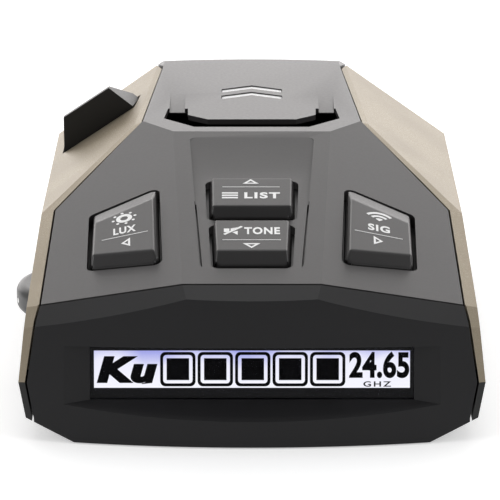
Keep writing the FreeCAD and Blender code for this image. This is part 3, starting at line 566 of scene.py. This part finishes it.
def dim_legend():
    """Sun, a word, a rule and an arrow to the left."""
    art = Art()
    x, y = SUN
    art.ring(circle(x, y, 1.3), circle(x, y, 0.62))
    reach_x, reach_y, radius = 1.78, 1.7, 0.25
    for step in range(8):
        turn = math.radians(45 * step + 10)
        dot = circle(x + reach_x * math.cos(turn), y + reach_y * math.sin(turn), radius, 12)
        art.outline(dot)
    art.words("LUX", x - 1.75, x + 1.85, y - 4.8, y - 2.7, HEAVY, gap=SPREAD)
    rule(art, x - 3.6, x + 3.75, y - 5.65)
    art.triangle((x - 0.55, y - 7.85), (x + 0.9, y - 6.55), (x + 0.9, y - 9.15), ARROW)
    art.turn(DIM_TURN)
    print_legend(art, "dim")


def sensitivity_legend():
    """Radio waves, a word, a rule and an arrow to the right."""
    art = Art()
    x, y = WAVES
    art.outline([(x, y)] + circle(x, y, 0.85, 12, 45, 90))
    for radius, wide in ((1.5, 0.5), (2.45, 0.52)):
        art.stroke(circle(x, y, radius, 24, 40, 100), wide)
    art.words("SIG", x - 1.85, x + 1.65, y - 3.35, y - 1.3, HEAVY, gap=SPREAD)
    rule(art, x - 4.0, x + 3.65, y - 4.4)
    art.triangle((x + 0.5, y - 6.3), (x - 1.0, y - 5.05), (x - 1.0, y - 7.65), ARROW)
    art.turn(SENSITIVITY_TURN)
    print_legend(art, "sensitivity")


menu_legend()
mute_legend()
dim_legend()
sensitivity_legend()


# ---- display -----------------------------------------------------------------------------------
# Places are in millimetres: x from the middle of the display glass, y from the lit field's foot.
FIELD_HALF_W = 24.0
FIELD_LOW = -2.35                   # the lit field's lower edge, from the middle of the glass
FIELD_TALL = 5.7
FIELD_RISE = 0.05                   # the field and the symbols lie just above the glass
SYMBOL_RISE = 0.08
METERS = 5                          # boxes of the signal meter
METER_X = -13.95
METER_PITCH = 5.69
METER_W = 5.38
METER_Y = (0.22, 5.5)
METER_LINE = 0.46
METER_INSET = (0.98, 0.96)          # from a box's outline to the black square inside it


def display_place():
    """Plane of the display glass, at its middle."""
    out = next(p.normal for p in nodes["display_window"].data.polygons if p.normal.y < -0.9)
    glass = nodes["display_module"].data
    front = [p for p in glass.polygons if p.normal.dot(out) > 0.99]
    corners = [glass.vertices[i].co for p in front for i in p.vertices]
    middle = sum(corners, Vector()) / len(corners)
    return frame_at(middle, out) @ Matrix.Translation((0, FIELD_LOW * MM, 0))


def lit_piece(place):
    """Backlit field."""
    field = Art()
    field.bar(-FIELD_HALF_W, FIELD_HALF_W, 0, FIELD_TALL)
    field.finish("lit_field", place, "case", "display_lit", "display_lit", FIELD_RISE, 0.0)


def symbols(place):
    """Band letters, five meter boxes and a figure."""
    ink = Art()
    ink.words("Ku", -23.6, -14.35, 0.56, 4.85, 0.062, 0.2, 1.08)
    y0, y1 = METER_Y
    inset_x, inset_y = METER_INSET
    edge = METER_LINE
    for step in range(METERS):
        x0 = METER_X + step * METER_PITCH
        x1 = x0 + METER_W
        outer = rounded_box(x0, x1, y0, y1, 0.8)
        inner = rounded_box(x0 + edge, x1 - edge, y0 + edge, y1 - edge, 0.5)
        ink.ring(outer, inner)
        ink.bar(x0 + inset_x, x1 - inset_x, y0 + inset_y, y1 - inset_y)
    ink.words("24.65", 14.75, FIELD_HALF_W - 0.1, 1.48, FIELD_TALL - 0.12, 0.036, gap=1.02)
    ink.finish("display_symbols", place, "case", "display_ink", "display_lit", SYMBOL_RISE, 0.0)


def unit_mark(place):
    """Small unit under the figure."""
    unit = Art()
    unit.words("GHZ", 16.93, 21.14, 0.17, 1.0, 0.02, gap=1.3)
    unit.finish("display_unit", place, "case", "display_ink", "display_lit", SYMBOL_RISE, 0.0)


glass_place = display_place()
lit_piece(glass_place)
symbols(glass_place)
unit_mark(glass_place)


# ---- small pieces on the case ------------------------------------------------------------------
# All in millimetres, unless it says otherwise.
CHEVRON_ROWS = (27.0, 31.0)         # y of the notch of each seat in the flat top
CHEVRON_HALF_W = 5.2                # half width of a seat
CHEVRON_FALL = 2.4                  # from the notch back to the lower outer corners
CHEVRON_SHOULDER = 0.4              # from the notch back to the upper outer corners
CHEVRON_RISE = 2.0                  # from the notch to the tip
SEAT_DEPTH = 0.25
CHEVRON_GAP = 0.12                  # between the print and the edge of its seat

RIB_FLOOR = (25.0, 27.0)            # heights between which the channel's floor lies
RIB_COUNT = 8                       # on each side
RIB_X = 9.5                         # first rib, from the middle
RIB_PITCH = 0.7
RIB_W = 0.34                        # at the foot; the crest is half as wide
RIB_TALL = 0.3
RIB_Y = (8.6, 20.5)                 # near and far end

CLOTH_LAYERS = (0.04, 0.1)          # lower and upper face at the edge, from the frame's foot
CLOTH_DOME = 0.12                   # how much higher the middle is
CLOTH_INSET = 1.7                   # from the frame's rim to the cloth's edge

DOT_ANGLE = 197                     # direction of the wheel's white dot, degrees
DOT_R = 0.42
DOT_DROP = 0.2                      # below the middle of the rim
DOT_LAYERS = (-0.03, 0.02)          # inner and outer face, from the rim


def plain_piece(name, builder, body, material):
    """Piece from a bmesh in millimetres."""
    bmesh.ops.recalc_face_normals(builder, faces=builder.faces)
    mesh = bpy.data.meshes.new(name)
    builder.to_mesh(mesh)
    builder.free()
    mesh.transform(Matrix.Scale(MM, 4))
    mesh.materials.append(MATERIALS[material])
    piece = bpy.data.objects.new(name, mesh)
    scene.collection.objects.link(piece)
    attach(piece, body)


def box_mm(name):
    """Corners of a CAD node's box, in millimetres."""
    low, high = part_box(name)
    return Vector(low) / MM, Vector(high) / MM


def bridge(mesh, first, second):
    """Band of faces between two closed loops of vertices."""
    count = len(first)
    for i in range(count):
        j = (i + 1) % count
        mesh.faces.new([first[i], first[j], second[j], second[i]])


def chevrons():
    """Two printed chevrons in the seats of the flat top."""
    top = box_mm("top_cover")[1].z
    art = Art()
    gap = CHEVRON_GAP
    side = CHEVRON_HALF_W - gap
    for y in CHEVRON_ROWS:
        low = y - CHEVRON_FALL + 2 * gap
        high = y - CHEVRON_SHOULDER
        tip = y + CHEVRON_RISE - gap
        right = [(side, low), (side, high)]
        left = [(-side, high), (-side, low)]
        art.outline([(0, y + gap)] + right + [(0, tip)] + left)
    place = Matrix.Translation((0, 0, (top - SEAT_DEPTH) * MM))
    art.finish("chevron_print", place, "case", "legend_white", "legend_white", 0.04, 0.03)


def slot_ribs():
    """Fine ribs on the floor of the mounting channel, at both ends of the slot."""
    mesh = bmesh.new()
    low, high = RIB_FLOOR
    floors = [p for p in nodes["mount_guide"].data.polygons
              if p.normal.z > 0.99 and low * MM < p.center.z < high * MM]
    level = floors[0].center.z / MM
    for side in (-1, 1):
        for step in range(RIB_COUNT):
            x = side * (RIB_X + step * RIB_PITCH)
            foot, crest = RIB_W / 2, RIB_W / 4
            outline = [(x - foot, 0), (x - crest, RIB_TALL), (x + crest, RIB_TALL), (x + foot, 0)]
            near, far = [[mesh.verts.new((a, y, level + b)) for a, b in outline] for y in RIB_Y]
            bridge(mesh, near, far)
            mesh.faces.new(near[::-1])
            mesh.faces.new(far)
    plain_piece("slot_ribs", mesh, "case", "case_black")


def speaker_cloth():
    """Domed cloth disc behind the grille."""
    low, high = box_mm("speaker_frame")
    middle = (low + high) / 2
    radius = (high.x - low.x) / 2 - CLOTH_INSET
    mesh = bmesh.new()
    rings, spokes = 8, 48
    edges = []
    for bottom in CLOTH_LAYERS:
        centre = mesh.verts.new((middle.x, middle.y, low.z + bottom + CLOTH_DOME))
        loops = []
        for r in range(1, rings + 1):
            share = r / rings
            z = low.z + bottom + CLOTH_DOME * (1 - share ** 2)
            spots = circle(middle.x, middle.y, radius * share, spokes)
            loops.append([mesh.verts.new((x, y, z)) for x, y in spots])
        for i in range(spokes):
            mesh.faces.new([centre, loops[0][i], loops[0][(i + 1) % spokes]])
        for inner, outer in zip(loops, loops[1:]):
            bridge(mesh, inner, outer)
        edges.append(loops[-1])
    bridge(mesh, *edges)
    plain_piece("speaker_cloth", mesh, "case", "speaker_cloth")


def wheel_dot():
    """White dot on the rim of the volume wheel."""
    low, high = box_mm("volume_wheel")
    middle = (low + high) / 2
    radius = (high.y - low.y) / 2
    mesh = bmesh.new()
    loops = []
    for lift in DOT_LAYERS:
        reach = radius + lift
        loop = []
        for a, b in circle(0, 0, DOT_R, 20):
            turn = math.radians(DOT_ANGLE) + a / radius
            x = middle.x + reach * math.cos(turn)
            y = middle.y + reach * math.sin(turn)
            loop.append(mesh.verts.new((x, y, middle.z - DOT_DROP + b)))
        loops.append(loop)
    inner, outer = loops
    mesh.faces.new(outer)
    mesh.faces.new(inner[::-1])
    bridge(mesh, inner, outer)
    plain_piece("wheel_dot", mesh, "wheel", "legend_white")


chevrons()
slot_ribs()
speaker_cloth()
wheel_dot()
